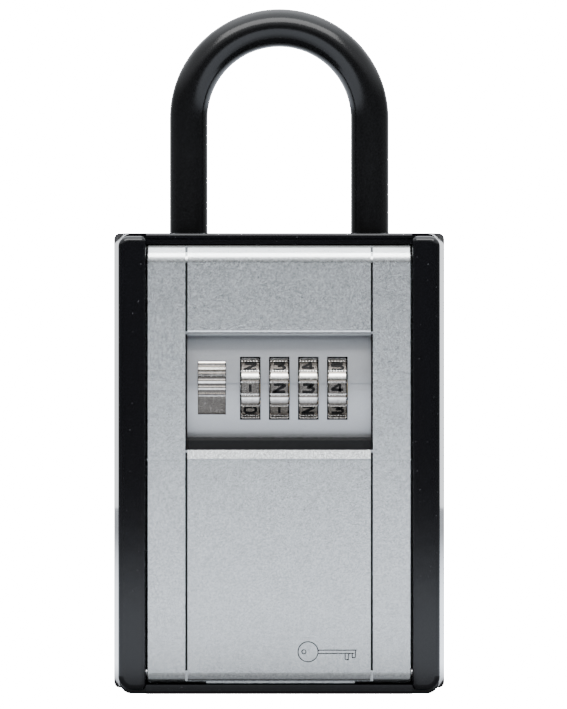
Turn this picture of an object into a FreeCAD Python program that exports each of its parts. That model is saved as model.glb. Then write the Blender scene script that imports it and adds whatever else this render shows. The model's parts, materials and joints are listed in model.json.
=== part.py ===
import FreeCAD, Part
import math
import os

# Key lock box with a lift-off shackle: one STEP file per physical piece, in millimetres.
# Frame: X to the right, Y towards the back, Z up, origin under the centre of the box.

os.makedirs("parts", exist_ok=True)
V = FreeCAD.Vector

# ------------------------------------------------------------------ driving dimensions
# Casing
body_width = 84.6            # across the back, the widest place
body_height = 116.5          # to the top of the back pad
body_depth = 50.0            # front of the posts to the back of the pad
side_lean = 2.05             # each side wall leans in this much towards the front
top_lean = 0.35              # the top wall falls this much towards the front
pad_thickness = 1.5
pad_lip = 0.3                # how far the pad shows above the casing
pad_corner = 1.6
casing_corner = 3.2
cavity_corner = 1.5
foot_trim = 0.02             # taken off underneath, so that the casing stands on a true plane
side_wall = 3.0
back_wall = 3.0
floor_thickness = 2.4
top_wall_front = 2.7

# Posts and rails round the door
post_width = 7.0
post_depth = 5.5
post_proud = 0.2             # past the casing's front edge, sideways
post_bottom = 1.0
post_top_drop = 0.7
post_edge_radius = 1.4
post_top_radius, post_foot_radius, post_inner_radius = 2.6, 3.6, 1.5
post_screw_inset = 19.0      # outer screws from the post's ends
face_setback = 0.8           # door face behind the front of the posts
flange_depth = 3.5           # front flange of the casing behind the posts
rail_groove_drop = 1.35
rail_groove_width, rail_groove_depth = 0.4, 0.3
rail_edge_radius = 0.6
rail_setback = 3.6           # the rail stands this far behind the door's face
foot_edge_radius = 0.8

# Door
door_plate = 3.0
door_wall = 2.2
door_top_radius = 4.4
door_side_radius = 0.5
window_edge_radius = 0.8
hinge_radius = 2.8
pin_radius = 0.9
pin_length = 7.0
pin_grip = 3.0               # how far each hinge pin sits in its post

# Front face layout
top_band = 22.3              # door top down to the window
window_height = 29.2
crease_drop = 2.4            # window's foot down to the crease
crease_width = 0.4
crease_depth = 0.45
groove_width = 0.6
groove_depth = 1.4
cover_half_width = 23.0
cover_thickness = 1.2
cover_bottom = 3.4
cover_lip_depth = 0.75       # the cover's top edge slopes back this far
tongue_reach = 1.4
tongue_thickness = 0.45
slit_left, slit_right = -18.3, 19.0
slit_height, slit_depth = 0.55, 2.2
sill_depth = 2.2             # the dark sill under the bezel, behind the door face
sill_bevel = 0.6

# Dial window and number wheels
bezel_crest_depth = 4.2      # behind the door face
bezel_radius = 45.0
bezel_thickness = 0.9
bezel_foot = 3.1             # window's foot up to the bezel
bezel_head = 0.4             # bezel's top below the window's top
bezel_tab = 4.5              # the bezel's upright tab behind the door
ledge_thickness = 1.4        # frame ledges that back the bezel
index_rise, index_width, index_depth = 0.4, 1.8, 0.25
wheel_count = 4
wheel_pitch = 7.31
wheel_first_x = -7.27
wheel_radius = 9.8
wheel_width = 4.8
wheel_rise = 15.5            # window's foot up to the axle
wheel_flat_drop = 0.5
wheel_flat_half = 1.25
wheel_edge_chamfer = 0.35
wheel_grip_groove = 0.35
wheel_digits = 10
slot_side_gap = 0.2
slot_end_gap = 0.12
axle_radius = 1.5
clip_radius = 3.0
clip_thickness = 0.6
clip_mouth_half = 1.1

# Code discs and clutch
disc_radius = 5.2
disc_room = 1.4              # disc behind the bezel
disc_hub_radius = 2.3
disc_thickness = 0.7
disc_offset = 0.5            # wheel side to disc
disc_gate_radius = 2.35
disc_gate_width = 2.4
dog_radius = 0.5
dog_centre_radius = 3.6
dog_length = 0.6
clutch_travel = 0.9
clutch_height = 1.6
clutch_finger = 0.35
clutch_finger_radius = 4.6   # the fingers reach in to this radius
lever_stem_x = (2.4, 5.0)
lever_rib = 3.0
lever_half, lever_plate = 6.0, 1.2

# Detent comb
detent_bead = 0.8
detent_half = 1.2
detent_thickness = 0.4
detent_foot = 3.0

# Opening slide and latch
thumb_x = -16.93
thumb_slot_width = 7.1
thumb_slot_drop = 6.6        # the slot's foot below the axle
thumb_slot_height = 13.5
thumb_pad_height = 8.6
thumb_pad_depth = 2.9        # crest of the pad behind the door face
thumb_plate_depth = 7.5
thumb_plate_thickness = 1.2
thumb_plate_reach = (4.7, 3.8)
thumb_crown_radius = 9.0
thumb_ribs = 5
latch_travel = 4.0
latch_plate_rise, latch_plate_height = 7.1, 12.0
latch_plate_thickness = 1.2
latch_arm_width, latch_arm_height = 6.0, 2.0
shelf_thickness = 1.4
prong_thickness = 0.7
prong_depth = 1.8
prong_rest_radius = 6.7
bolt_half_width = 9.0
bolt_thickness = 1.9
bolt_drop = 4.4              # bolt's top below the door's top
bolt_edge_radius = 0.7
spring_radius, spring_wire = 2.2, 0.5
spring_drop = 10.9           # spring's foot below the axle
strike_thickness = 0.8
strike_half = 8.0
strike_foot = 8.0
strike_lap = 3.0             # how far the bolt stands behind the leaf
strike_screw_x = 4.5
strike_screw_setback = 4.5

# Lock frame and back cover
frame_margin = 1.4           # frame outside the cover's edge
frame_foot, frame_head = 6.8, 12.9   # past the window, below and above
frame_wall = 1.2
frame_end_wall = 1.4
cheek_thickness = 1.2
cheek_front_depth = 8.2
cheek_gaps = (1.3, 0.7)      # first wheel to its cheek, last disc's travel to the other
works_depth = 3.7            # the back cover's back behind the frame
back_cover_plate = 1.5
back_cover_edge_radius = 1.0
screw_inset = 3.8
screw_tube_radius = 2.5
screw_tube_sink = 0.4        # how far each tube merges into the end wall
boss_depth = 4.8             # door bosses, behind the face

# Screws
screw_radius = 1.0
screw_clear_radius = 1.2
screw_bite = 1.5             # ceiling screws up into the top wall
screw_head_height = 1.1
post_head_radius = 1.6
post_bite = 2.5              # casing screws into the posts
cover_head_radius, cover_head_edge = 2.1, 0.5
strike_head_radius, strike_head_height = 1.7, 0.9
block_screw_radius = 1.5
block_head_radius, block_head_height = 2.7, 1.4
block_screw_x = 12.0

# Shackle and its lock
shackle_leg_x = 23.05
shackle_rise = 29.5          # top of the bushes to the centre of the arch
bar_radius = 4.0
bar_chamfer = 0.8
sleeve_thickness = 0.85
sleeve_gap = 0.3
leg_depth = 17.65            # leg ends below the ceiling
block_foot = 2.0             # tray below the leg ends
block_seat_rise = 2.9        # lock plate's seat above the leg ends
block_corner = 1.2
block_end_wall = 3.45        # outside the legs
block_side_wall = 1.5
lock_web = 1.4               # lock plate beside its windows
lock_plate_thickness = 2.2
lock_travel = 2.5
notch_room = 0.4             # notch above and below the plate
bush_wall = 1.45
bush_sink = 0.2
knob_stem = 1.8
knob_half_width, knob_half_depth, knob_height = 5.0, 3.5, 4.8

# Clearances
door_gap = 0.25              # door to posts and rails
slide_gap = 0.2              # sliding plates
running = 0.1                # turning fits, on the radius
seat = 0.02                  # fixed pins in their holes, on the radius
leg_gap = 0.15               # shackle legs in the block
past = 1.0                   # cutters run this far past what they cut

# ------------------------------------------------------------------ derived places
front_y = -body_depth / 2
back_y = body_depth / 2
face_y = front_y + face_setback
casing_front_y = front_y + post_depth
casing_back_y = back_y - pad_thickness
flange_back_y = casing_front_y + flange_depth
casing_half = body_width / 2
casing_top_back = body_height - pad_lip
casing_top_front = casing_top_back - top_lean
casing_front_half = casing_half - side_lean
ceiling = casing_top_front - top_wall_front
post_outer = casing_front_half + post_proud
post_inner = post_outer - post_width
post_top = casing_top_front - post_top_drop
pin_outer = post_inner + pin_grip
post_screw_x = (post_inner + casing_front_half - side_wall) / 2
post_screw_heights = (post_bottom + post_screw_inset, (post_bottom + post_top) / 2,
                      post_top - post_screw_inset)

door_half = post_inner - door_gap
door_top = ceiling - door_gap
door_bottom = floor_thickness + door_gap
hinge_y = face_y + hinge_radius
hinge_z = door_bottom + hinge_radius
window_top = door_top - top_band
window_bottom = window_top - window_height
crease_height = window_bottom - crease_drop
recess_depth = cover_thickness + slide_gap
cover_travel = window_height - slide_gap
stile_x = cover_half_width + groove_width

bezel_bottom = window_bottom + bezel_foot
bezel_top = window_top - bezel_head
bezel_mid = (bezel_bottom + bezel_top) / 2
bezel_axis_y = face_y + bezel_crest_depth + bezel_radius
bezel_half = cover_half_width + 0.1
wheel_axis_depth = bezel_crest_depth + bezel_thickness + disc_room + disc_radius
wheel_flat_radius = wheel_radius - wheel_flat_drop
wheel_y = face_y + wheel_axis_depth
wheel_z = window_bottom + wheel_rise
wheel_xs = [wheel_first_x + wheel_pitch * i for i in range(wheel_count)]
thumb_slot_bottom = wheel_z - thumb_slot_drop
thumb_slot_top = thumb_slot_bottom + thumb_slot_height
disc_shift = wheel_width / 2 + disc_offset

frame_half_width = cover_half_width + frame_margin
frame_inner = frame_half_width - frame_wall
frame_bottom, frame_top = window_bottom - frame_foot, window_top + frame_head
frame_depth = wheel_axis_depth + wheel_radius - slide_gap
frame_back_y = face_y + frame_depth
cover_back_y = frame_back_y + works_depth
screw_x = frame_half_width - screw_inset
screw_tube_inset = frame_end_wall + screw_tube_radius - screw_tube_sink
screw_low = frame_bottom + screw_tube_inset
screw_high = frame_top - screw_tube_inset
boss_radius = screw_tube_radius - screw_tube_sink - slide_gap
first_cheek = wheel_xs[0] - wheel_width / 2 - cheek_gaps[0]
last_cheek = wheel_xs[-1] + disc_shift + disc_thickness + clutch_travel + cheek_gaps[1]
cheeks = ((first_cheek - cheek_thickness, first_cheek), (last_cheek, last_cheek + cheek_thickness))
axle_overhang = clip_thickness + 0.3
bridge_top = window_bottom + 0.2
clutch_low = bridge_top + 0.8

plate_low = wheel_z + latch_plate_rise
plate_high = plate_low + latch_plate_height
shelf_low = wheel_z + wheel_radius + latch_travel + 0.3
spring_x, spring_y, spring_low = thumb_x + 0.4, wheel_y + 4.0, wheel_z - spring_drop
thumb_plate_left, thumb_plate_right = thumb_x - thumb_plate_reach[0], thumb_x + thumb_plate_reach[1]
bolt_top = door_top - bolt_drop
bolt_front_y = frame_back_y - 0.3
strike_back_y = bolt_front_y - 0.3
strike_screw_y = strike_back_y - strike_screw_setback

sleeve_radius = bar_radius + sleeve_thickness
bush_radius = bar_radius + leg_gap + bush_wall
bush_top = casing_top_back - bush_sink
arch_height = bush_top + shackle_rise
lock_window = bar_radius + 2 * leg_gap
lock_plate_half_depth = lock_window + lock_web
block_half_depth = lock_plate_half_depth + slide_gap + block_side_wall
block_half_width = shackle_leg_x + bar_radius + block_end_wall
shackle_y = cover_back_y + screw_head_height + slide_gap + block_half_depth
leg_end_height = ceiling - leg_depth
block_floor = leg_end_height - block_foot
block_seat = leg_end_height + block_seat_rise
lock_plate_low = block_seat + slide_gap / 2


def slot_half_height():
    """Half the height of a dial slot: where the wheel meets the bezel's inner face, and a gap."""
    inner, centre = bezel_radius - bezel_thickness, bezel_crest_depth + bezel_radius
    meet = (wheel_radius ** 2 - inner ** 2 - wheel_axis_depth ** 2 + centre ** 2) / (
        2 * (centre - wheel_axis_depth))
    return math.sqrt(wheel_radius ** 2 - (wheel_axis_depth - meet) ** 2) + slot_end_gap


def clutch_section(gap):
    """Depth and height limits of the clutch bar, widened by gap."""
    return wheel_y - 2.2 - gap, wheel_y + 2.0 + gap, clutch_low - gap, clutch_low + clutch_height + gap


# ------------------------------------------------------------------ building helpers
def block(x0, x1, y0, y1, z0, z1):
    """Box between two corners, given in any order."""
    return Part.makeBox(abs(x1 - x0), abs(y1 - y0), abs(z1 - z0),
                        V(min(x0, x1), min(y0, y1), min(z0, z1)))


def rod_x(y, z, radius, x0, x1):
    return Part.makeCylinder(radius, abs(x1 - x0), V(min(x0, x1), y, z), V(1, 0, 0))


def rod_y(x, z, radius, y0, y1):
    return Part.makeCylinder(radius, abs(y1 - y0), V(x, min(y0, y1), z), V(0, 1, 0))


def rod_z(x, y, radius, z0, z1):
    return Part.makeCylinder(radius, abs(z1 - z0), V(x, y, min(z0, z1)), V(0, 0, 1))


def prism_x(points, x0, x1):
    """Closed outline of (y, z) points carried from x0 to x1."""
    corners = [V(x0, y, z) for y, z in points]
    face = Part.Face(Part.makePolygon(corners + corners[:1]))
    return face.extrude(V(x1 - x0, 0, 0))


def rounded_outline(half_x, z0, z1, radius, y):
    """Rectangle with four round corners, standing in the plane y."""
    edges = []
    centres = [(half_x - radius, z1 - radius, 0), (radius - half_x, z1 - radius, 90),
               (radius - half_x, z0 + radius, 180), (half_x - radius, z0 + radius, 270)]
    arcs = []
    for cx, cz, start in centres:
        ends = [math.radians(start + step) for step in (0, 45, 90)]
        arcs.append([V(cx + radius * math.cos(a), y, cz + radius * math.sin(a)) for a in ends])
    for i, arc in enumerate(arcs):
        edges.append(Part.Arc(*arc).toShape())
        edges.append(Part.LineSegment(arc[2], arcs[(i + 1) % 4][0]).toShape())
    return Part.Wire(edges)


def fillet_where(shape, radius, wanted):
    """Round the edges whose bounding box passes the test."""
    edges = [edge for edge in shape.Edges if wanted(edge.BoundBox)]
    return shape.makeFillet(radius, edges)


def join(*shapes):
    return shapes[0].multiFuse(list(shapes[1:])).removeSplitter()


def near(a, b):
    return abs(a - b) < 1e-4


# ------------------------------------------------------------------ casing
def rear_housing():
    """Drafted shell: side walls, top, floor, back wall, front flanges and the top rail."""
    front = rounded_outline(casing_front_half, -foot_trim, casing_top_front, casing_corner, casing_front_y)
    back = rounded_outline(casing_half, -foot_trim, casing_top_back, casing_corner, casing_back_y)
    shell = Part.makeLoft([front, back], True, True)
    shell = shell.cut(block(-body_width, body_width, -body_depth, body_depth, -past, 0))
    inner_half = casing_front_half - side_wall
    flange_inner = post_inner + door_gap
    cavity = block(-inner_half, inner_half, flange_back_y, casing_back_y - back_wall,
                   floor_thickness, ceiling)
    cavity = fillet_where(cavity, cavity_corner, lambda b: b.YLength > flange_depth)
    opening = block(-flange_inner, flange_inner, front_y, flange_back_y + past, floor_thickness, ceiling)
    rail_y = face_y + rail_setback
    rail = block(-post_inner, post_inner, rail_y, casing_front_y, ceiling, casing_top_front)
    groove_z = casing_top_front - rail_groove_drop
    rail_groove = block(-post_inner, post_inner, rail_y, rail_y + rail_groove_depth,
                        groove_z - rail_groove_width / 2, groove_z + rail_groove_width / 2)
    rail = fillet_where(rail, rail_edge_radius,
                        lambda b: near(b.YMax, rail_y) and near(b.ZMin, casing_top_front))
    body = join(shell.cut(cavity).cut(opening), rail.cut(rail_groove))
    for side in (-1, 1):
        body = body.cut(rod_z(side * shackle_leg_x, shackle_y, bush_radius, ceiling - past, bush_top + past))
        body = body.cut(rod_z(side * block_screw_x, shackle_y, block_screw_radius, ceiling - past,
                              ceiling + screw_bite + 0.1))
        body = body.cut(rod_z(side * strike_screw_x, strike_screw_y, screw_radius, ceiling - past,
                              ceiling + screw_bite + 0.1))
        for z in post_screw_heights:
            body = body.cut(rod_y(side * post_screw_x, z, screw_radius, front_y, flange_back_y + past))
    return body


def back_pad():
    front = Part.Face(rounded_outline(body_width / 2, 0, body_height, pad_corner, casing_back_y))
    return front.extrude(V(0, pad_thickness, 0))


def side_post(side):
    """Upright strip beside the door, rounded in front, with the hinge pin's hole."""
    low, high = post_bottom, post_top
    post = block(side * post_inner, side * post_outer, front_y, casing_front_y, low, high)

    def corner(x, z):
        return lambda b: near(b.XMin, x) and near(b.XMax, x) and near(b.ZMin, z) and near(b.ZMax, z)

    post = fillet_where(post, post_top_radius, corner(side * post_outer, high))
    post = fillet_where(post, post_foot_radius, corner(side * post_outer, low))
    for z in (low, high):
        post = fillet_where(post, post_inner_radius, corner(side * post_inner, z))
    post = fillet_where(post, post_edge_radius, lambda b: near(b.YMax, front_y))
    post = post.cut(rod_x(hinge_y, hinge_z, pin_radius + seat, 0, side * pin_outer))
    for z in post_screw_heights:
        post = post.cut(rod_y(side * post_screw_x, z, screw_radius, casing_front_y - post_bite - 0.1,
                              casing_front_y))
    return post


def screws(places, heads):
    """Round-head screws: places are (shank, head) pairs of solids, fused one by one."""
    return Part.makeCompound([join(shank, head) for shank, head in zip(places, heads)])


def side_post_screws():
    shanks, heads = [], []
    for side in (-1, 1):
        for z in post_screw_heights:
            x = side * post_screw_x
            shanks.append(rod_y(x, z, screw_radius - seat, casing_front_y - post_bite,
                                flange_back_y + screw_head_height / 2))
            heads.append(rod_y(x, z, post_head_radius, flange_back_y, flange_back_y + screw_head_height))
    return screws(shanks, heads)


def bottom_rail():
    rail = block(-post_inner, post_inner, face_y, casing_front_y, 0, floor_thickness)
    return fillet_where(rail, foot_edge_radius, lambda b: near(b.YMax, face_y) and near(b.ZMax, 0))


def hinge_pins():
    return Part.makeCompound([rod_x(hinge_y, hinge_z, pin_radius, side * (pin_outer - pin_length),
                                    side * pin_outer) for side in (-1, 1)])


def strike_spring():
    """Spring-steel leaf that hangs from the ceiling in front of the bolt."""
    foot = block(-strike_half, strike_half, strike_back_y - strike_foot, strike_back_y,
                 ceiling - strike_thickness, ceiling)
    leaf = block(-strike_half, strike_half, strike_back_y - strike_thickness, strike_back_y,
                 bolt_top - strike_lap, ceiling)
    spring = join(foot, leaf)
    for side in (-1, 1):
        spring = spring.cut(rod_z(side * strike_screw_x, strike_screw_y, screw_radius + seat, 0,
                                  body_height))
    return spring


def strike_screws():
    under = ceiling - strike_thickness
    shanks, heads = [], []
    for x in (-strike_screw_x, strike_screw_x):
        shanks.append(rod_z(x, strike_screw_y, screw_radius - seat, under - strike_head_height / 2,
                            ceiling + screw_bite))
        heads.append(rod_z(x, strike_screw_y, strike_head_radius, under - strike_head_height, under))
    return screws(shanks, heads)


# ------------------------------------------------------------------ door
def door_outline(inset):
    """Side view of the door, shrunk by inset: hinge barrel, flat face and rounded top."""
    front, radius = face_y + inset, hinge_radius - inset
    top, bend, back = door_top - inset, door_top_radius - inset, hinge_y + radius
    slant = math.sqrt(0.5)
    up = Part.LineSegment(V(0, front, hinge_z), V(0, front, top - bend))
    over = Part.Arc(V(0, front, top - bend),
                    V(0, front + bend * (1 - slant), top - bend * (1 - slant)),
                    V(0, front + bend, top))
    along = Part.LineSegment(V(0, front + bend, top), V(0, back, top))
    down = Part.LineSegment(V(0, back, top), V(0, back, hinge_z))
    under = Part.Arc(V(0, back, hinge_z), V(0, hinge_y, hinge_z - radius), V(0, front, hinge_z))
    return Part.Face(Part.Wire([part.toShape() for part in (up, over, along, down, under)]))


def door_solid(inset, x0, x1):
    face = door_outline(inset)
    face.translate(V(x0, 0, 0))
    return face.extrude(V(x1 - x0, 0, 0))


def crease(x0, x1):
    low = crease_height - crease_width / 2
    return block(x0, x1, face_y - 1, face_y + crease_depth, low, low + crease_width)


def door_shell():
    """Front door: face plate with hinge barrel, window, cover recess and tongue channels."""
    door = door_solid(0, -door_half, door_half)
    door = fillet_where(door, door_side_radius, lambda b: near(b.XLength, 0) and b.ZLength > 1
                        and b.YMin < face_y + door_side_radius)
    back = hinge_y + hinge_radius
    door = door.cut(block(door_wall - door_half, door_half - door_wall, face_y + door_plate, back + 1,
                          hinge_z + hinge_radius, door_top - door_wall))
    door = door.cut(block(-stile_x, stile_x, face_y - past, back + past, window_bottom, window_top))
    door = fillet_where(door, window_edge_radius, lambda b: near(b.YMin, face_y) and near(b.YMax, face_y)
                        and near(b.ZMin, window_top) and near(b.ZMax, window_top))
    door = door.cut(block(-stile_x, stile_x, face_y - past, face_y + recess_depth,
                          cover_bottom - 0.1, window_bottom + past))
    tongue_front = face_y + cover_thickness - tongue_thickness
    for side in (-1, 1):
        reach = side * (cover_half_width + tongue_reach + slide_gap)
        channel = block(0, reach, tongue_front - slide_gap, face_y + recess_depth,
                        hinge_z, window_bottom + cover_travel + slide_gap)
        door = door.cut(channel)
        lines = block(side * cover_half_width, side * stile_x, face_y - 1, face_y + door_plate,
                      window_top - 1, door_top + 1)
        door = door.cut(lines.cut(door_solid(groove_depth, -door_half, door_half)))
        door = door.cut(crease(side * stile_x, side * (door_half + 1)))
        door = door.cut(rod_x(hinge_y, hinge_z, pin_radius + running,
                              side * (pin_outer - pin_length - slide_gap), side * body_width / 2))
        for z in (screw_low, screw_high):
            boss = rod_y(side * screw_x, z, boss_radius, face_y + recess_depth, face_y + boss_depth)
            door = door.fuse(boss)
            door = door.cut(rod_y(side * screw_x, z, screw_radius, face_y + 2.2, face_y + boss_depth + past))
    slit_z = cover_bottom - 0.1
    door = door.cut(block(slit_left, slit_right, face_y - past, face_y + slit_depth,
                          slit_z - slit_height, slit_z))
    return door.removeSplitter()


def cover_slide():
    """Sliding shutter: lies flush in the lower door and slides up over the dials."""
    cover = door_solid(0, -cover_half_width, cover_half_width)
    cover = cover.common(block(-cover_half_width, cover_half_width, face_y - 1,
                               face_y + cover_thickness, cover_bottom, window_bottom))
    cover = cover.cut(crease(-cover_half_width - 1, cover_half_width + 1))
    lip_low = crease_height + crease_width / 2
    lip_y = face_y + cover_lip_depth
    lip = prism_x([(face_y - 1, lip_low), (face_y + 0.1, lip_low), (lip_y, window_bottom),
                   (lip_y, window_bottom + 1), (face_y - 1, window_bottom + 1)],
                  -cover_half_width - 1, cover_half_width + 1)
    cover = cover.cut(lip)
    for side in (-1, 1):
        tongue = block(side * (cover_half_width - 1), side * (cover_half_width + tongue_reach),
                       face_y + cover_thickness - tongue_thickness, face_y + cover_thickness,
                       hinge_z + slide_gap, window_bottom - slide_gap)
        cover = cover.fuse(tongue)
    return cover.removeSplitter()


def bezel_band(outer, inner, x0, x1, z0, z1):
    """Strip of a tube about the bezel's axis, kept in front and between two heights."""
    tube = rod_x(bezel_axis_y, bezel_mid, outer, x0, x1).cut(rod_x(bezel_axis_y, bezel_mid, inner, x0, x1))
    return tube.common(block(x0, x1, face_y, bezel_axis_y - outer / 2, z0, z1))


def dial_bezel():
    """Curved front of the dials, with five slots and an index band."""
    half = bezel_half
    inner = bezel_radius - bezel_thickness
    bezel = bezel_band(bezel_radius, inner, -half, half, bezel_bottom, bezel_top)
    drop = bezel_radius - math.sqrt(bezel_radius ** 2 - (bezel_top - bezel_mid) ** 2)
    edge_y = face_y + bezel_crest_depth + drop
    bezel = bezel.fuse(block(-half, half, edge_y, edge_y + bezel_thickness + 0.4,
                             bezel_top - 0.2, bezel_top + bezel_tab))
    index_z = wheel_z + index_rise
    bezel = bezel.cut(bezel_band(bezel_radius + past, bezel_radius - index_depth, -half, half,
                                 index_z - index_width / 2, index_z + index_width / 2))
    tall, wide = slot_half_height(), wheel_width / 2 + slot_side_gap
    for x in wheel_xs:
        bezel = bezel.cut(block(x - wide, x + wide, face_y, wheel_y, wheel_z - tall, wheel_z + tall))
    bezel = bezel.cut(block(thumb_x - thumb_slot_width / 2, thumb_x + thumb_slot_width / 2,
                            face_y, wheel_y, thumb_slot_bottom, thumb_slot_top))
    return bezel.removeSplitter()


def dial_sill():
    """Dark bar under the bezel, with a bevelled top edge and a web down to the frame's bridge."""
    front, web, back = face_y + sill_depth, face_y + door_plate + 1, face_y + door_plate + 3.5
    low, top, foot = window_bottom + 0.1, bezel_bottom - 0.1, bridge_top - frame_end_wall
    return prism_x([(front, low), (front, top - sill_bevel), (front + sill_bevel, top), (back, top),
                    (back, foot), (web, foot), (web, low)], -bezel_half, bezel_half)


def lock_frame():
    """Open frame behind the dials: walls, sill, floor bridge, cheeks for the axle, screw tubes."""
    front, back = face_y + door_plate, frame_back_y
    wide, inner = frame_half_width, frame_inner
    box = block(-wide, wide, front, back, frame_bottom, frame_top)
    hollow = block(-inner, inner, front - 1, back + 1, frame_bottom + frame_end_wall,
                   frame_top - frame_end_wall)
    frame = box.cut(hollow)
    bridge = block(-inner, inner, front + 3, back, bridge_top - frame_end_wall, bridge_top)
    pieces = [frame, bridge, dial_sill()]
    for x0, x1 in cheeks:
        pieces.append(block(x0, x1, face_y + cheek_front_depth, back, bridge_top - 0.2, frame_top - 0.5))
    for side in (-1, 1):
        ledge = bezel_radius - bezel_thickness
        pieces.append(bezel_band(ledge, ledge - ledge_thickness, side * (inner - 1.2), side * (inner + 0.2),
                                 bezel_bottom, bezel_top - 0.4))
        for z in (screw_low, screw_high):
            pieces.append(rod_y(side * screw_x, z, screw_tube_radius, face_y + boss_depth, back))
    pieces.append(block(-inner, cheeks[0][0], spring_y - 3, spring_y + 3, spring_low - 1.4, spring_low))
    frame = pieces[0].multiFuse(pieces[1:])
    frame = frame.cut(rod_x(wheel_y, wheel_z, axle_radius + seat, -inner + 1, inner - 1))
    for side in (-1, 1):
        for z in (screw_low, screw_high):
            frame = frame.cut(rod_y(side * screw_x, z, screw_clear_radius, front - past, back + past))
    bolt = bolt_half_width + slide_gap
    frame = frame.cut(block(-bolt, bolt, bolt_front_y - slide_gap, back + 1,
                            frame_top - frame_end_wall - 1, frame_top + 1))
    comb = clutch_section(slide_gap)
    frame = frame.cut(block(cheeks[0][0] - 1, cheeks[1][1] + 1, *comb))
    return frame.removeSplitter()


def door_back_cover():
    """Cover of the lock works: a plate with a rim that meets the frame."""
    wide, inner, back = frame_half_width, frame_inner, cover_back_y
    plate_y = back - back_cover_plate
    cover = block(-wide, wide, frame_back_y, back, frame_bottom, frame_top)
    cover = fillet_where(cover, back_cover_edge_radius, lambda b: near(b.YMin, back))
    cover = cover.cut(block(-inner, inner, face_y, plate_y, frame_bottom + frame_end_wall,
                            frame_top - frame_end_wall))
    bolt = bolt_half_width + slide_gap
    cover = cover.cut(block(-bolt, bolt, face_y, bolt_front_y + bolt_thickness + slide_gap,
                            frame_top - 3, frame_top + 1))
    x0, x1 = lever_stem_x
    low, high = clutch_section(slide_gap)[2:]
    cover = cover.cut(block(x0 - slide_gap, x1 + clutch_travel + slide_gap, plate_y - 1, back + 1,
                            low, high))
    for side in (-1, 1):
        for z in (screw_low, screw_high):
            tube = rod_y(side * screw_x, z, screw_tube_radius, frame_back_y, plate_y + 0.5)
            cover = cover.fuse(tube).cut(rod_y(side * screw_x, z, screw_clear_radius, face_y, back + past))
    return cover.removeSplitter()


def back_cover_screws():
    back = cover_back_y
    shanks, heads = [], []
    for side in (-1, 1):
        for z in (screw_low, screw_high):
            shanks.append(rod_y(side * screw_x, z, screw_radius - seat, face_y + 2.3,
                                back + screw_head_height / 2))
            head = rod_y(side * screw_x, z, cover_head_radius, back, back + screw_head_height)
            heads.append(fillet_where(head, cover_head_edge,
                                      lambda b: near(b.YMin, back + screw_head_height)))
    return screws(shanks, heads)


# ------------------------------------------------------------------ dials
def dial_axle():
    return rod_x(wheel_y, wheel_z, axle_radius, cheeks[0][0] - axle_overhang, cheeks[1][1] + axle_overhang)


def axle_clips():
    clips = []
    for x0 in (cheeks[0][0] - clip_thickness - seat, cheeks[1][1] + seat):
        ring = rod_x(wheel_y, wheel_z, clip_radius, x0, x0 + clip_thickness)
        ring = ring.cut(rod_x(wheel_y, wheel_z, axle_radius + seat, x0 - 1, x0 + 2))
        mouth = block(x0 - 1, x0 + 2, wheel_y - clip_mouth_half, wheel_y + clip_mouth_half,
                      wheel_z, wheel_z + clip_radius + past)
        clips.append(ring.cut(mouth))
    return Part.makeCompound(clips)


def number_wheel(x):
    """Ring with ten flats for the digits and a grooved grip ridge between each two."""
    x0, x1 = x - wheel_width / 2, x + wheel_width / 2
    wheel = rod_x(wheel_y, wheel_z, wheel_radius, x0, x1)
    edges = [edge for edge in wheel.Edges if near(edge.BoundBox.XLength, 0)]
    wheel = wheel.makeChamfer(wheel_edge_chamfer, edges)
    wheel = wheel.cut(rod_x(wheel_y, wheel_z, disc_hub_radius + running, x0 - 1, x1 + 1))
    step = 360 / wheel_digits
    cutters = []
    for i in range(wheel_digits):
        flat = block(x0 - 1, x1 + 1, wheel_y - wheel_radius - 1, wheel_y - wheel_flat_radius,
                     wheel_z - wheel_flat_half, wheel_z + wheel_flat_half)
        flat.rotate(V(x, wheel_y, wheel_z), V(1, 0, 0), i * step)
        grip = rod_x(wheel_y - wheel_radius - 0.1, wheel_z, wheel_grip_groove, x0 - 1, x1 + 1)
        grip.rotate(V(x, wheel_y, wheel_z), V(1, 0, 0), (i + 0.5) * step)
        pocket = rod_x(wheel_y, wheel_z - dog_centre_radius, dog_radius + running,
                       x1 - dog_length - slide_gap, x1 + 1)
        pocket.rotate(V(x, wheel_y, wheel_z), V(1, 0, 0), i * step)
        cutters += [flat, grip, pocket]
    for cutter in cutters:
        wheel = wheel.cut(cutter)
    return wheel


def code_disc(x):
    """Flanged hub beside a wheel: a gate on top, an assembly notch behind and a dog below."""
    left, right = x + disc_shift, x + disc_shift + disc_thickness
    disc = rod_x(wheel_y, wheel_z, disc_radius, left, right)
    hub = rod_x(wheel_y, wheel_z, disc_hub_radius, x - wheel_width / 2 + slide_gap, right)
    dog = rod_x(wheel_y, wheel_z - dog_centre_radius, dog_radius,
                x + wheel_width / 2 - dog_length, left + disc_thickness / 2)
    disc = disc.multiFuse([hub, dog])
    half = disc_gate_width / 2
    gate = block(left - 1, right + 1, wheel_y - half, wheel_y + half,
                 wheel_z + disc_gate_radius, wheel_z + disc_radius + 1)
    notch = block(left - 1, right + 1, wheel_y + disc_gate_radius, wheel_y + disc_radius + 1,
                  wheel_z - half, wheel_z + half)
    disc = disc.cut(gate).cut(notch)
    return disc.cut(rod_x(wheel_y, wheel_z, axle_radius + running, x - wheel_width, right + 1))


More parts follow.
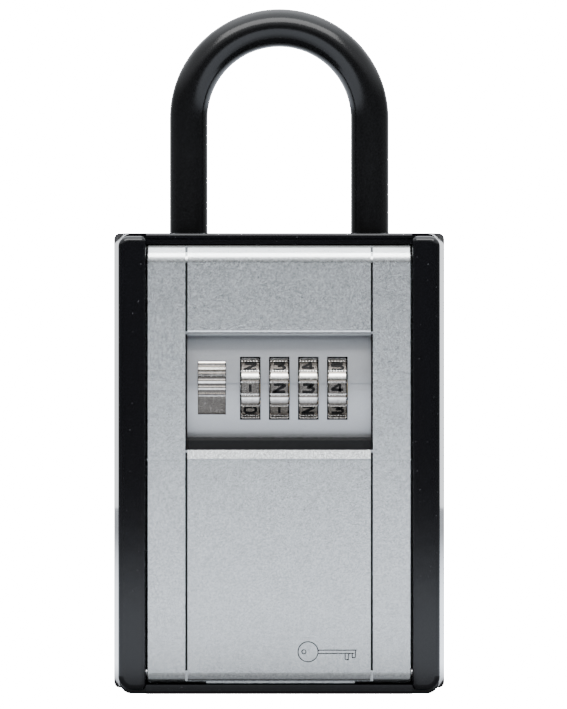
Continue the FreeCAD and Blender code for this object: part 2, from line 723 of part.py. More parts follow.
def detent_spring():
    """Comb of leaves on the frame's bridge; each bead clicks on the flats of one wheel."""
    turn = math.radians(4 * 360 / wheel_digits)
    reach = wheel_flat_radius + detent_bead + running
    bead_y, bead_z = wheel_y - reach * math.cos(turn), wheel_z - reach * math.sin(turn)
    leaf_y = bead_y + detent_bead / 2
    first, last = wheel_xs[0] - detent_half, wheel_xs[-1] + detent_half
    pieces = [block(first, last, leaf_y - detent_foot, leaf_y + detent_thickness, bridge_top,
                    bridge_top + detent_thickness)]
    for x in wheel_xs:
        pieces.append(block(x - detent_half, x + detent_half, leaf_y, leaf_y + detent_thickness,
                            bridge_top, bead_z + detent_bead / 2))
        pieces.append(rod_x(bead_y, bead_z, detent_bead, x - detent_half, x + detent_half))
    return join(*pieces)


# ------------------------------------------------------------------ opening slide and latch
def thumb_slide():
    """Ribbed pad on a guide plate that runs behind the bezel."""
    half = thumb_slot_width / 2 - slide_gap
    plate = block(thumb_plate_left, thumb_plate_right, face_y + thumb_plate_depth,
                  face_y + thumb_plate_depth + thumb_plate_thickness,
                  thumb_slot_bottom - slide_gap, thumb_slot_top + latch_travel + 2)
    top = thumb_slot_top - slide_gap
    middle = top - thumb_pad_height / 2
    crown = thumb_crown_radius
    pad = rod_x(face_y + thumb_pad_depth + crown, middle, crown, thumb_x - half, thumb_x + half)
    pad = pad.common(block(thumb_x - half, thumb_x + half, face_y, face_y + thumb_plate_depth + 0.2,
                           top - thumb_pad_height, top))
    pitch = thumb_pad_height / thumb_ribs
    for i in range(thumb_ribs):
        z = top - pitch * (i + 0.5)
        rise = crown - math.sqrt(crown ** 2 - (z - middle) ** 2)
        pad = pad.cut(rod_x(face_y + thumb_pad_depth + rise - 0.1, z, pitch * 0.32,
                            thumb_x - half - 1, thumb_x + half + 1))
    return join(plate, pad)


def latch_plate():
    """Plate behind the wheels: bolt on top, fence prongs over the discs, arm to the slide."""
    front = frame_back_y + 2 * slide_gap
    back = front + latch_plate_thickness
    left, right = thumb_plate_left + 1, cheeks[1][0] - 1
    plate = block(left, right, front, back, plate_low, plate_high)
    bolt = block(-bolt_half_width, bolt_half_width, bolt_front_y, bolt_front_y + bolt_thickness,
                 plate_high - 1, bolt_top)
    bolt = fillet_where(bolt, bolt_edge_radius, lambda b: near(b.ZMin, bolt_top) and b.XLength > 1)
    arm = block(left, left + latch_arm_width, face_y + thumb_plate_depth + thumb_plate_thickness, front,
                plate_low, plate_low + latch_arm_height)
    shelf = block(cheeks[0][1] + 4, right, wheel_y - prong_depth / 2, front,
                  shelf_low, shelf_low + shelf_thickness)
    pieces = [plate, bolt, arm, shelf]
    for x in wheel_xs:
        left = x + disc_shift + (disc_thickness - prong_thickness) / 2
        pieces.append(block(left, left + prong_thickness, wheel_y - prong_depth / 2,
                            wheel_y + prong_depth / 2, wheel_z + prong_rest_radius, shelf_low + 0.2))
    return join(*pieces)


def latch_spring():
    """Envelope of the coil spring that pushes the latch up."""
    coil = rod_z(spring_x, spring_y, spring_radius, spring_low, plate_low)
    return coil.cut(rod_z(spring_x, spring_y, spring_radius - spring_wire, spring_low - 1, plate_low + 1))


# ------------------------------------------------------------------ code change clutch
def clutch_comb():
    """Bar below the dials with one finger beside each code disc."""
    y0, y1, low, high = clutch_section(0)
    pieces = [block(wheel_xs[0], wheel_xs[-1] + wheel_pitch / 2, y0, y1, low, high)]
    for x in wheel_xs:
        left = x + wheel_width / 2 + running
        pieces.append(block(left, left + clutch_finger, y0 + 0.3, y1 - 0.3, low,
                            wheel_z - clutch_finger_radius))
    return join(*pieces)


def code_change_lever():
    """Slide on the back cover, worked only when the box is open."""
    y1, low, high = clutch_section(0)[1:]
    front = cover_back_y + slide_gap
    stem = block(*lever_stem_x, y1, front + 0.2, low, high)
    middle = sum(lever_stem_x) / 2
    tab = block(middle - lever_half, middle + lever_half, front, front + lever_plate, low - 2, high + 3)
    tab = fillet_where(tab, 0.8, lambda b: near(b.YLength, lever_plate))
    rib = block(middle - 0.8, middle + 0.8, front + 1, front + lever_rib, low - 1.5, high + 2.5)
    return join(stem, tab, rib)


# ------------------------------------------------------------------ shackle
def shackle_sweep(radius, leg_end):
    """Round bar along the U: two straight legs and a half circle."""
    circle = Part.Wire(Part.makeCircle(radius, V(shackle_leg_x, shackle_y, arch_height), V(0, 0, 1)))
    arch = Part.Face(circle).revolve(V(0, shackle_y, arch_height), V(0, 1, 0), -180)
    legs = [rod_z(side * shackle_leg_x, shackle_y, radius, leg_end, arch_height) for side in (-1, 1)]
    return join(arch, *legs)


def shackle_bar():
    """Steel U with a locking notch in each leg."""
    bar = shackle_sweep(bar_radius, leg_end_height)
    bar = bar.makeChamfer(bar_chamfer, [edge for edge in bar.Edges
                                        if near(edge.BoundBox.ZMax, leg_end_height) and edge.Length > 1])
    for side in (-1, 1):
        x = side * shackle_leg_x
        bar = bar.cut(block(x - bar_radius - past, x - bar_radius + lock_travel,
                            shackle_y - sleeve_radius, shackle_y + sleeve_radius,
                            lock_plate_low - notch_room, lock_plate_low + lock_plate_thickness + notch_room))
    return bar


def shackle_sleeve():
    return shackle_sweep(sleeve_radius, bush_top + sleeve_gap).cut(shackle_sweep(bar_radius, leg_end_height))


def shackle_bushes():
    rings = []
    for side in (-1, 1):
        x = side * shackle_leg_x
        ring = rod_z(x, shackle_y, bush_radius, ceiling, bush_top)
        rings.append(ring.cut(rod_z(x, shackle_y, bar_radius + leg_gap, ceiling - 1, bush_top + 1)))
    return Part.makeCompound(rings)


def leg_bores(shape, low):
    for side in (-1, 1):
        shape = shape.cut(rod_z(side * shackle_leg_x, shackle_y, bar_radius + leg_gap, low, body_height))
    return shape


def shackle_block():
    """Guide block under the ceiling, bored for the legs."""
    body = block(-block_half_width, block_half_width, shackle_y - block_half_depth,
                 shackle_y + block_half_depth, block_seat + lock_plate_thickness + slide_gap, ceiling)
    body = fillet_where(body, block_corner, lambda b: near(b.XLength, 0) and near(b.YLength, 0))
    body = leg_bores(body, 0)
    for side in (-1, 1):
        body = body.cut(rod_z(side * block_screw_x, shackle_y, block_screw_radius, 0, body_height))
    return body


def shackle_block_cover():
    """Tray under the guide block: seats the leg ends and carries the lock plate."""
    near_y, far_y = shackle_y - block_half_depth, shackle_y + block_half_depth
    rim_top = block_seat + lock_plate_thickness + slide_gap
    tray = block(-block_half_width, block_half_width, near_y, far_y, block_floor, rim_top)
    tray = fillet_where(tray, block_corner, lambda b: near(b.XLength, 0) and near(b.YLength, 0))
    run = lock_plate_half_depth + slide_gap
    tray = tray.cut(block(-body_width / 2, body_width / 2, shackle_y - run, shackle_y + run,
                          block_seat, rim_top + 1))
    tray = leg_bores(tray, leg_end_height - sleeve_gap)
    tray = tray.cut(block(-knob_stem - slide_gap, knob_stem + lock_travel + slide_gap,
                          shackle_y - knob_stem - slide_gap, shackle_y + knob_stem + slide_gap,
                          block_floor - 1, rim_top))
    for side in (-1, 1):
        tray = tray.cut(rod_z(side * block_screw_x, shackle_y, block_screw_radius, 0, body_height))
    return tray


def shackle_cover_screws():
    shanks, heads = [], []
    for x in (-block_screw_x, block_screw_x):
        shanks.append(rod_z(x, shackle_y, block_screw_radius - seat, block_floor - block_head_height / 2,
                            ceiling + screw_bite))
        heads.append(rod_z(x, shackle_y, block_head_radius, block_floor - block_head_height, block_floor))
    return screws(shanks, heads)


def shackle_lock_plate():
    """Plate with two windows; slid to +X its edges enter the notches of both legs."""
    low, half_y, window = lock_plate_low, lock_plate_half_depth, lock_window
    end = block_half_width - block_side_wall
    plate = block(-end, end - lock_travel, shackle_y - half_y, shackle_y + half_y,
                  low, low + lock_plate_thickness)
    for side in (-1, 1):
        x = side * shackle_leg_x
        plate = plate.cut(block(x - window, min(x + window, end), shackle_y - window, shackle_y + window,
                                low - 1, body_height))
        screw = side * block_screw_x
        room = block_screw_radius + slide_gap
        plate = plate.cut(block(screw - room - lock_travel, screw + room, shackle_y - room,
                                shackle_y + room, low - 1, body_height))
    return plate


def shackle_lock_knob():
    """Knob under the tray that works the lock plate from inside the open box."""
    stem = block(-knob_stem, knob_stem, shackle_y - knob_stem, shackle_y + knob_stem,
                 block_floor - 1.2, lock_plate_low)
    top = block_floor - 3 * slide_gap
    grip = block(-knob_half_width, knob_half_width, shackle_y - knob_half_depth,
                 shackle_y + knob_half_depth, top - knob_height, top)
    grip = fillet_where(grip, block_corner, lambda b: near(b.XLength, 0) and near(b.YLength, 0))
    return join(stem, grip)


# ------------------------------------------------------------------ output
parts = {
    "rear_housing": rear_housing(),
    "back_pad": back_pad(),
    "left_side_post": side_post(-1),
    "right_side_post": side_post(1),
    "side_post_screws": side_post_screws(),
    "bottom_rail": bottom_rail(),
    "hinge_pins": hinge_pins(),
    "strike_spring": strike_spring(),
    "strike_screws": strike_screws(),
    "shackle_block": shackle_block(),
    "shackle_block_cover": shackle_block_cover(),
    "shackle_cover_screws": shackle_cover_screws(),
    "shackle_bushes": shackle_bushes(),
    "shackle_bar": shackle_bar(),
    "shackle_sleeve": shackle_sleeve(),
    "shackle_lock_plate": shackle_lock_plate(),
    "shackle_lock_knob": shackle_lock_knob(),
    "door_shell": door_shell(),
    "cover_slide": cover_slide(),
    "dial_bezel": dial_bezel(),
    "lock_frame": lock_frame(),
    "door_back_cover": door_back_cover(),
    "back_cover_screws": back_cover_screws(),
    "dial_axle": dial_axle(),
    "axle_clips": axle_clips(),
    "detent_spring": detent_spring(),
    "thumb_slide": thumb_slide(),
    "latch_plate": latch_plate(),
    "latch_spring": latch_spring(),
    "clutch_comb": clutch_comb(),
    "code_change_lever": code_change_lever(),
}
for number, wheel_x in enumerate(wheel_xs, 1):
    parts[f"number_wheel_{number}"] = number_wheel(wheel_x)
    parts[f"code_disc_{number}"] = code_disc(wheel_x)

for name, shape in parts.items():
    if not shape.isValid() or not shape.Solids:
        raise ValueError(f"{name} is not a sound solid")
    shape.exportStep(f"parts/{name}.step")
    print(f"{name}: {len(shape.Solids)} solid(s), {shape.Volume:.1f} cubic mm")
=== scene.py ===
# %% [markdown]
# # A key lock box with a lift-off shackle
# The box is a gloss black casing with a silver door in front, four number wheels behind a curved
# bezel, and a vinyl-covered steel shackle. The moving frame is already made in CAD, so this lesson
# gives each of its pieces a finish, and makes in numpy the pieces that need a finer shape: the
# number wheels and their digits, the coil spring, the screws and the pad.

# %% Load the fixed frame
import json
import math
import bpy
import numpy as np
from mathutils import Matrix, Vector


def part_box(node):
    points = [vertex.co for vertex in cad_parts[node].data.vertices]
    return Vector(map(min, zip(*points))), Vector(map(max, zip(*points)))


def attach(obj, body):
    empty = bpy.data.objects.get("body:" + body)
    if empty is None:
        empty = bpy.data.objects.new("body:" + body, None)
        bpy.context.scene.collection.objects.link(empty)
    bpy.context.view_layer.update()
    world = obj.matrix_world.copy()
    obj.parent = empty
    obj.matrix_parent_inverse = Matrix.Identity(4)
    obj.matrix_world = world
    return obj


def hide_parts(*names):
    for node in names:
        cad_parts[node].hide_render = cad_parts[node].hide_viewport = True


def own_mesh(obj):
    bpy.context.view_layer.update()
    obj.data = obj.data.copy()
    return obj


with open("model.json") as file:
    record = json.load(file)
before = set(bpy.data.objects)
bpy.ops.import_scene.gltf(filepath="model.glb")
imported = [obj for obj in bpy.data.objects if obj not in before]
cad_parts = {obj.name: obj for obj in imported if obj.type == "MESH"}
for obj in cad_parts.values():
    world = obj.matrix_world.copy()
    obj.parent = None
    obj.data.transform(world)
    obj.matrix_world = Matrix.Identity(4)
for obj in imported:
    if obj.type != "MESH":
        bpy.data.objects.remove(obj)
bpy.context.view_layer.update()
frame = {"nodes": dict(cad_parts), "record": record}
MM = 0.001
for plain in list(bpy.data.materials):      # the plain import colours; every piece gets a finish below
    bpy.data.materials.remove(plain)

# %% [markdown]
# ## The view
# A product camera stands far away with a long lens, so that upright edges stay parallel. The
# camera looks straight at the door, level with the middle of the whole object. The distance and
# the height of the field at the front of the box set the lens.

# %% Camera
FRONT_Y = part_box("left_side_post")[0].y
DISTANCE = 2.5
FIELD_HEIGHT = 0.1781
AIM_X, AIM_Z = 0.0011, 0.0854
camera_data = bpy.data.cameras.new("camera")
camera_data.lens = camera_data.sensor_width * DISTANCE / FIELD_HEIGHT   # the sensor's width is its long side
camera_data.clip_end = 50
camera = bpy.data.objects.new("camera", camera_data)
camera.location = (AIM_X, FRONT_Y - DISTANCE, AIM_Z)
camera.rotation_euler = (math.pi / 2, 0, 0)
bpy.context.scene.collection.objects.link(camera)
bpy.context.scene.camera = camera
print(f"lens {camera_data.lens:.0f} mm")

# %% [markdown]
# ## Writing shader maths as Python
# A finish is a small graph of nodes. Joining nodes by hand hides the formula, so one class wraps
# a socket and turns `a * b + 1` into Math nodes.

# %% Sockets that take part in arithmetic
class Wire:
    """A shader socket that takes part in Python arithmetic."""

    def __init__(self, finish, socket):
        self.finish = finish
        self.socket = socket

    def maths(self, operation, *terms):
        return self.finish.node("ShaderNodeMath", {"operation": operation}, dict(enumerate(terms)))

    def __add__(self, other):
        return self.maths("ADD", self, other)

    def __sub__(self, other):
        return self.maths("SUBTRACT", self, other)

    def __mul__(self, other):
        return self.maths("MULTIPLY", self, other)

    def __rsub__(self, other):
        return self.maths("SUBTRACT", other, self)

    __radd__ = __add__
    __rmul__ = __mul__

    def above(self, low, high):
        """0 below low, 1 above high, and a smooth step between."""
        return self.finish.node("ShaderNodeMapRange", {"interpolation_type": "SMOOTHSTEP"},
                                {"Value": self, "From Min": low, "From Max": high})


print("a socket can now be added, taken away, multiplied and stepped")

# %% [markdown]
# ## A finish and its nodes
# Every finish starts from the Principled shader. One method makes any node from its type, its
# settings and what goes into its sockets; the others are short names for what most finishes need:
# a place on the piece, a noise of a given size in millimetres, a mix and a bump.

# %% Finish helper
class Finish:
    """One material: a Principled shader whose changing sockets are fed by wires."""

    def __init__(self, name, color, roughness, metallic=0.0, **fixed):
        self.material = bpy.data.materials.new(name)
        self.material.use_nodes = True
        self.tree = self.material.node_tree
        self.shader = self.tree.nodes["Principled BSDF"]
        self.feed("Base Color", color)
        self.feed("Roughness", roughness)
        self.feed("Metallic", metallic)
        for socket, value in fixed.items():
            self.shader.inputs[socket.replace("_", " ")].default_value = value

    def put(self, socket, value):
        if isinstance(value, Wire):
            self.tree.links.new(value.socket, socket)
        elif isinstance(value, tuple) and len(value) == 3 and socket.type == "RGBA":
            socket.default_value = (*value, 1.0)
        else:
            socket.default_value = value

    def feed(self, name, value):
        self.put(self.shader.inputs[name], value)
        return self

    def node(self, kind, settings=None, values=None, out=0):
        """Any node: settings are set first, then the values or wires of its sockets."""
        made = self.tree.nodes.new(kind)
        for name, value in (settings or {}).items():
            setattr(made, name, value)
        for name, value in (values or {}).items():
            self.put(made.inputs[name], value)
        return Wire(self, made.outputs[out])

    def place(self, stretch=(1.0, 1.0, 1.0)):
        """Object coordinates in metres, stretched along each axis."""
        start = self.node("ShaderNodeTexCoord", out="Object")
        return self.node("ShaderNodeMapping", {}, {"Vector": start, "Scale": stretch})

    def noise(self, size_mm, detail=2.0, stretch=(1.0, 1.0, 1.0), roughness=0.5):
        """Noise with features of about size_mm; a stretch under 1 lengthens them."""
        return self.node("ShaderNodeTexNoise", {}, {
            "Vector": self.place(stretch), "Scale": 1 / (size_mm * MM),
            "Detail": detail, "Roughness": roughness})

    def mix(self, factor, first, second):
        return self.node("ShaderNodeMix", {"data_type": "RGBA"}, {0: factor, 6: first, 7: second}, out=2)

    def bump(self, height, depth_mm):
        """Height from 0 to 1 becomes relief of depth_mm."""
        normal = self.node("ShaderNodeBump", {}, {"Height": height, "Distance": depth_mm * MM})
        return self.feed("Normal", normal)


print("finishes can be written as formulas")

# %% [markdown]
# ## Silver lacquer
# The door and its sliding cover carry a silver lacquer: aluminium flakes in clear paint. The
# flakes make a fine grain about a third of a millimetre across, brighter and darker than the
# ground, and they scatter the reflection. Two noises of different size mix the tone, and a very
# shallow bump breaks the highlight.

# %% Silver lacquer and the smoother silver of the bezel
def silver(name, dark, light, grain_mm, grain_depth, roughness, metallic=0.9):
    """Dark and light mixed by four parts of flakes and one of broad patches."""
    finish = Finish(name, light, roughness, metallic=metallic)
    flakes = finish.noise(grain_mm, detail=3.0, roughness=0.7)
    patches = finish.noise(6.0, detail=2.0)
    tone = flakes.above(0.3, 0.7) * 0.8 + patches * 0.2
    finish.feed("Base Color", finish.mix(tone, dark, light))
    finish.feed("Roughness", flakes * 0.12 + (roughness - 0.06))
    finish.bump(flakes, grain_depth)
    return finish.material


silver_lacquer = silver("silver_lacquer", (0.36, 0.37, 0.37), (0.66, 0.675, 0.67), 0.42, 0.006, 0.21)
bezel_satin = silver("bezel_satin", (0.27, 0.273, 0.28), (0.325, 0.328, 0.335), 0.2, 0.0008, 0.36,
                     metallic=0.6)
print("silver:", silver_lacquer.name, "and", bezel_satin.name)

# %% [markdown]
# ## Gloss black
# The casing, the posts and the rails are moulded gloss black. A perfect mirror looks false:
# mouldings have a faint orange-peel wave, a few specks of dust and hairline marks from handling.
# The wave is a shallow bump, and the specks lift the roughness only where they lie.

# %% Gloss black, rubber and the matt black of the works
def gloss_black(name, color, roughness, peel_depth):
    """A wavy mirror; specks and upright hairline marks dull it where their noise is high."""
    finish = Finish(name, color, roughness, Specular_IOR_Level=0.23)
    peel = finish.noise(5.0, detail=1.0)
    specks = finish.noise(0.7, detail=1.0).above(0.76, 0.80)
    marks = finish.noise(1.0, detail=2.0, stretch=(1.0, 1.0, 0.05)).above(0.66, 0.76)
    finish.feed("Base Color", finish.mix(specks * 0.4, color, (0.06, 0.06, 0.065)))
    finish.feed("Roughness", specks * 0.25 + marks * 0.06 + roughness)
    return finish.bump(peel, peel_depth).material


def moulded(name, color, light, grain_mm, depth_mm, roughness, **fixed):
    """Matt moulding: an even spark-eroded grain over a slightly cloudy colour."""
    finish = Finish(name, color, roughness, **fixed)
    grain = finish.noise(grain_mm, detail=3.0, roughness=0.6)
    cloud = finish.noise(7.0, detail=2.0)
    finish.feed("Base Color", finish.mix(cloud * 0.6 + grain * 0.4, color, light))
    finish.feed("Roughness", grain * 0.16 + (roughness - 0.08))
    return finish.bump(grain, depth_mm).material


casing_black = gloss_black("casing_black", (0.003, 0.003, 0.0035), 0.06, 0.002)
post_black = gloss_black("post_black", (0.003, 0.003, 0.0035), 0.07, 0.003)
pad_rubber = moulded("pad_rubber", (0.012, 0.012, 0.012), (0.022, 0.022, 0.022), 0.25, 0.02, 0.72)
works_black = moulded("works_black", (0.001, 0.001, 0.001), (0.004, 0.004, 0.004), 0.2, 0.012, 0.45,
                      Specular_IOR_Level=0.14)
shackle_vinyl = moulded("shackle_vinyl", (0.002, 0.002, 0.002), (0.004, 0.004, 0.0042), 0.5, 0.006,
                        0.17, Specular_IOR_Level=0.20)
lever_red = moulded("lever_red", (0.26, 0.018, 0.014), (0.34, 0.03, 0.022), 0.3, 0.008, 0.34)
print("moulded finishes: 2 gloss, 4 matt")

# %% [markdown]
# ## Metals
# Every metal piece here was made by a different process. Pins and screws are bright turned steel;
# the springs are tempered, darker and bluish; the shackle's block is tumbled zinc and the code
# discs are brass. They share one function: a fine noise is the tool's grain, and a soft, larger
# noise is wear.

# %% Metals
def metal(name, color, worn, roughness, grain_mm, depth_mm):
    """Colour and worn colour mixed by seven parts of wear and three of grain."""
    finish = Finish(name, color, roughness, metallic=1.0)
    grain = finish.noise(grain_mm, detail=3.0, roughness=0.65)
    wear = finish.noise(2.2, detail=4.0, roughness=0.6)
    finish.feed("Base Color", finish.mix(wear.above(0.35, 0.7) * 0.7 + grain * 0.3, color, worn))
    finish.feed("Roughness", grain * 0.2 + wear * 0.12 + (roughness - 0.14))
    return finish.bump(grain, depth_mm).material


bright_steel = metal("bright_steel", (0.58, 0.58, 0.59), (0.46, 0.46, 0.47), 0.26, 0.2, 0.003)
spring_steel = metal("spring_steel", (0.24, 0.24, 0.26), (0.15, 0.14, 0.14), 0.34, 0.25, 0.004)
zinc_casting = metal("zinc_casting", (0.40, 0.40, 0.41), (0.30, 0.30, 0.31), 0.48, 0.5, 0.02)
disc_brass = metal("disc_brass", (0.56, 0.40, 0.17), (0.40, 0.27, 0.11), 0.30, 0.2, 0.004)
print("metals: steel, spring steel, zinc and brass")

# %% [markdown]
# ## Dial nickel
# The number wheels and the opening slide are nickel plated, with brush lines and blotches of their own. On
# top of these, the ridges of the wheels and the crests of the slide's ribs are painted light as highlights,
# and the flats are painted dark as shade. The wheels carry a value called raised on their points, 1 on
# ridges and 0 on flats. The slide's ribs are found by their place, left of the wheels and above a plain
# apron: a cosine of the height is high on each crest.

# %% Dial nickel
APRON_TOP, RIB_PITCH, SLIDE_RIGHT = 75.0 * MM, 1.72 * MM, -12.5 * MM


def dial_metal(name, dark, painted_highlight):
    """Painted shade and painted highlight mixed by ridges, rib crests, brush lines and blotches; blotches
    alone mark the flats.
    """
    finish = Finish(name, dark, 0.3, metallic=1.0)
    raised = finish.node("ShaderNodeAttribute", {"attribute_name": "raised"}, out="Fac")
    where = finish.node("ShaderNodeTexCoord", out="Object")
    apart = finish.node("ShaderNodeSeparateXYZ", {}, {0: where}, out="X")
    height = finish.node("ShaderNodeSeparateXYZ", {}, {0: where}, out="Z")
    turn = (height - APRON_TOP) * (2 * math.pi / RIB_PITCH)
    # each rib crest is painted light as a highlight line
    crest_highlights = finish.node("ShaderNodeMath", {"operation": "COSINE"}, {0: turn}).above(0.2, 0.9)
    rib_highlights = (1 - apart.above(SLIDE_RIGHT, SLIDE_RIGHT + 0.1 * MM)) * crest_highlights
    rib_highlights = rib_highlights * height.above(APRON_TOP - 0.3 * MM, APRON_TOP)
    brushed = finish.noise(0.16, detail=3.0, stretch=(0.08, 1.0, 1.0), roughness=0.65)
    blotches = finish.noise(0.8, detail=4.0, stretch=(1.0, 1.0, 0.4), roughness=0.65)
    tone = (raised + rib_highlights) * (0.35 + brushed * 0.7) + (blotches - 0.45) * 0.8
    finish.feed("Base Color", finish.mix(tone.above(0.0, 1.0), dark, painted_highlight))
    finish.feed("Roughness", brushed * 0.16 + blotches * 0.10 + 0.12)
    return finish.bump(brushed, 0.006).material


# the first colour is the painted shade of the flats, the second the painted highlight of ridges and rib
# crests
dial_nickel = dial_metal("dial_nickel", (0.16, 0.145, 0.13), (0.72, 0.70, 0.67))
print("dial nickel:", len(dial_nickel.node_tree.nodes), "nodes")

# %% [markdown]
# ## Finishing the CAD pieces
# The record names a material slot for each node. Each slot takes the finish of the same name, so
# a piece can't be left out.

# %% Assign the finishes
finishes = {material.name: material for material in (
    silver_lacquer, bezel_satin, casing_black, post_black, pad_rubber, works_black, shackle_vinyl,
    lever_red, dial_nickel, bright_steel, spring_steel, zinc_casting, disc_brass)}


def coat(piece, material):
    piece.data.materials.clear()
    piece.data.materials.append(material)


slot_of = {sub["node"]: sub["material_slot"] for sub in frame["record"]["subparts"]}
for name, node in frame["nodes"].items():
    coat(node, finishes[slot_of[name]])
print(len(slot_of), "CAD pieces coated")

# %% [markdown]
# ## Surfaces in numpy
# Most new pieces are grids: points computed as whole arrays from two parameters, then joined to
# their neighbours. One function turns such a grid into a mesh, two more number its faces, and each
# shape's own function holds only its formula.

# %% Mesh helpers
def piece(name, points, faces, slot, body, smooth_angle=35):
    """A finished mesh piece in metres, coated with its slot's finish and riding on a body."""
    mesh = bpy.data.meshes.new(name)
    mesh.from_pydata(np.asarray(points).reshape(-1, 3).tolist(), [], faces)
    mesh.materials.append(finishes[slot])
    mesh.polygons.foreach_set("use_smooth", [True] * len(mesh.polygons))
    mesh.set_sharp_from_angle(angle=math.radians(smooth_angle))
    made = bpy.data.objects.new(name, mesh)
    bpy.context.scene.collection.objects.link(made)
    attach(made, body)
    return made


def ring_faces(rows, columns, first=0):
    """Quads of a grid that closes on itself both ways.

    Point (r, c) has the number first + r * columns + c; each quad takes the next row and the next
    column, counted round.
    """
    r, c = np.meshgrid(np.arange(rows), np.arange(columns), indexing="ij")
    down, right = (r + 1) % rows, (c + 1) % columns
    corners = [(r, c), (r, right), (down, right), (down, c)]
    return (first + np.stack([a * columns + b for a, b in corners], axis=-1)).reshape(-1, 4).tolist()


def tube_faces(rows, columns, first=0):
    """Quads round a tube of rows rings, and one flat face to close each end."""
    last = first + (rows - 1) * columns
    return (ring_faces(rows, columns, first)[: (rows - 1) * columns]
            + [list(range(first + columns - 1, first - 1, -1)), list(range(last, last + columns))])


print("faces of a 3 by 4 ring:", len(ring_faces(3, 4)), "and of a 3 by 4 tube:", len(tube_faces(3, 4)))

# %% [markdown]
# ## Number wheels
# Each wheel is a die-cast ring with ten small flats, one for each digit. A raised, knurled lip
# frames every flat, and a smooth grip ridge stands between two grooves midway to the next one. So
# the rim is a profile that repeats ten times round, and the knurl is cut across it. The whole ring,
# with its chamfered edges, side walls and bore, is one closed grid, and its points remember whether
# they lie on a lip or a ridge, for the nickel to read.

# %% Wheel surface
axle_low, axle_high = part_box("dial_axle")
AXLE_Y, AXLE_Z = (axle_low.y + axle_high.y) / 2, (axle_low.z + axle_high.z) / 2
WHEELS, DIGITS = range(1, 5), 10
STEP = 2 * math.pi / DIGITS
wheel_low, wheel_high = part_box("number_wheel_1")
RIM = (wheel_high.y - wheel_low.y) / 2
FLAT = RIM - 0.5 * MM
BORE, CHAMFER = 2.4 * MM, 0.3 * MM
KNURL_PITCH, KNURL_DEPTH = 0.72 * MM, 0.14 * MM
FLAT_END, LIP_START, LIP_END, RIDGE_START = 7.7, 7.9, 10.2, 13.6     # degrees from a flat's middle
# Degrees from the middle of a flat to each change of the rim, and the depth under the ridge in mm
RIM_PROFILE = np.array([(0.0, 0.0), (7.6, 0.0), (8.0, 0.06), (9.9, 0.02), (10.4, 0.30), (13.2, 0.32),
                        (13.8, 0.05), (15.6, 0.0), (18.0, 0.0)])


HALF_STEP = np.radians([0, 3.8, 7.6, 7.8, 8.0, 8.8, 9.9, 10.1, 10.4, 11.8, 13.2, 13.5, 13.8, 14.6, 15.6,
                        18.0])                                      # where the grid has a row of points


def wheel_rim(turn, x, half_width):
    """Radius of the rim at an angle and a place along the axle.

    The angle is folded into half a step. On the flat the radius is FLAT over the cosine, as on any
    plane; past it the profile's depth is taken off the ridge. The knurl takes a little more off the
    lip wherever a wave along x is high, and the chamfer grows linearly towards each side.
    """
    fold = np.abs((turn + STEP / 2) % STEP - STEP / 2)
    degrees = np.degrees(fold)
    depth = np.interp(degrees, RIM_PROFILE[:, 0], RIM_PROFILE[:, 1]) * MM
    on_lip = (degrees > LIP_START) * (degrees < 10)
    knurl = np.clip(np.sin(2 * math.pi * x / KNURL_PITCH) * 2.5, 0, 1) * on_lip
    chamfer = np.clip(CHAMFER - (half_width - np.abs(x)), 0, None)
    radius = np.where(degrees < FLAT_END, FLAT / np.cos(fold), RIM - depth - knurl * KNURL_DEPTH)
    return radius - chamfer


print(f"rim radius {RIM / MM:.2f} mm, flats at {FLAT / MM:.2f} mm")

# %% [markdown]
# ## The four rings
# A ring is the rim's radius taken round the axle at each place across the wheel, with the bore as
# the last two columns. It replaces the plain wheel of the CAD model and turns with it.

# %% Number wheels
def number_wheel(number):
    """Grid of turns by places round the section: rim from left to right, then the bore back."""
    low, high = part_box(f"number_wheel_{number}")
    middle, half = (low.x + high.x) / 2, (high.x - low.x) / 2
    one_step = np.concatenate([HALF_STEP, STEP - HALF_STEP[-2:0:-1]])
    turns = (np.arange(DIGITS)[:, None] * STEP + one_step).ravel()
    across = np.concatenate([[-half], np.linspace(-half + CHAMFER, half - CHAMFER, 47), [half]])
    x = np.concatenate([across, [half, -half]])
    turn, place = np.meshgrid(turns, x, indexing="ij")
    radius = wheel_rim(turn, place, half)
    radius[:, -2:] = BORE
    points = np.stack([middle + place, AXLE_Y - radius * np.cos(turn), AXLE_Z + radius * np.sin(turn)], -1)
    made = piece(f"dial_ring_{number}", points, ring_faces(*turn.shape), "dial_nickel", f"wheel_{number}")
    fold = np.degrees(np.abs((turn + STEP / 2) % STEP - STEP / 2))
    # raised marks the lips and ridges, which the nickel paints light as highlight; the flats are painted
    # dark as shade
    raised = ((fold > LIP_START) & (fold < LIP_END)) | (fold > RIDGE_START)
    made.data.attributes.new("raised", "FLOAT", "POINT").data.foreach_set(
        "value", raised.astype(np.float32).ravel())
    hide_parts(f"number_wheel_{number}")
    return made


rings = [number_wheel(number) for number in WHEELS]
print("wheels:", len(rings), "rings of", len(rings[0].data.polygons), "faces")

# %% [markdown]
# ## Strokes of the digits
# The digits are wide, plain strokes of black. A font would bring someone's drawing with it, so each
# digit is drawn here as a few strokes in a box from -1 to 1 each way, and the corners are cut twice
# to round them.

# %% Strokes
def curve(*points, rounds=2):
    """An open stroke whose corners are cut: every point gives way to two, an eighth along its runs."""
    path = np.array(points, float)
    for _ in range(rounds):
        start, end = path[:-1], path[1:]
        cut = np.stack([start * 0.875 + end * 0.125, start * 0.125 + end * 0.875], 1).reshape(-1, 2)
        path = np.vstack([path[:1], cut[1:-1], path[-1:]])
    return path


def oval(x, y, half_x, half_y, squareness=3.0, count=28):
    """A closed superellipse: cosine and sine to the power 2 / squareness, with their signs."""
    turn = np.linspace(0, 2 * math.pi, count, endpoint=False)
    cos, sin = np.cos(turn), np.sin(turn)
    power = 2 / squareness
    return np.stack([x + half_x * np.sign(cos) * np.abs(cos) ** power,
                     y + half_y * np.sign(sin) * np.abs(sin) ** power], -1)


